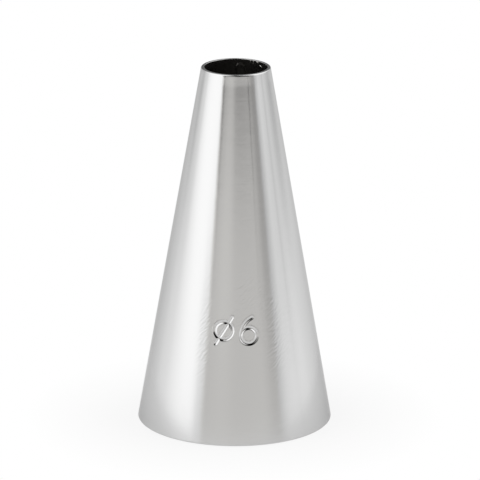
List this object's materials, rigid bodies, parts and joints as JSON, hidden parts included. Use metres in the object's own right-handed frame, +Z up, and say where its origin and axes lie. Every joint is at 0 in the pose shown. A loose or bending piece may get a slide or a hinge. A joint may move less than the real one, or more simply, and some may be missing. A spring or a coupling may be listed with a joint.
{
  "type": "piping nozzle",
  "caption": "Plain round piping nozzle: a seamed sheet-steel cone, open at its wide foot and at its narrow mouth, for piping icing from a bag.",
  "frame": {"origin": "centre of the open foot, in the plane that the nozzle stands on", "axes": "+Z up the cone's axis to the mouth, -Y towards the stamped size mark, the seam on the +Y side"},
  "size_m": [0.0184, 0.0184, 0.0344],
  "materials": {
    "nickel_plated_sheet": "sheet steel, plated and finely polished round the cone",
    "solder": "tin solder, ground flush outside and left as a low bead inside"
  },
  "bodies": {
    "root": {"cone_shell": "nickel_plated_sheet", "seam_solder": "solder"}
  },
  "joints": []
}
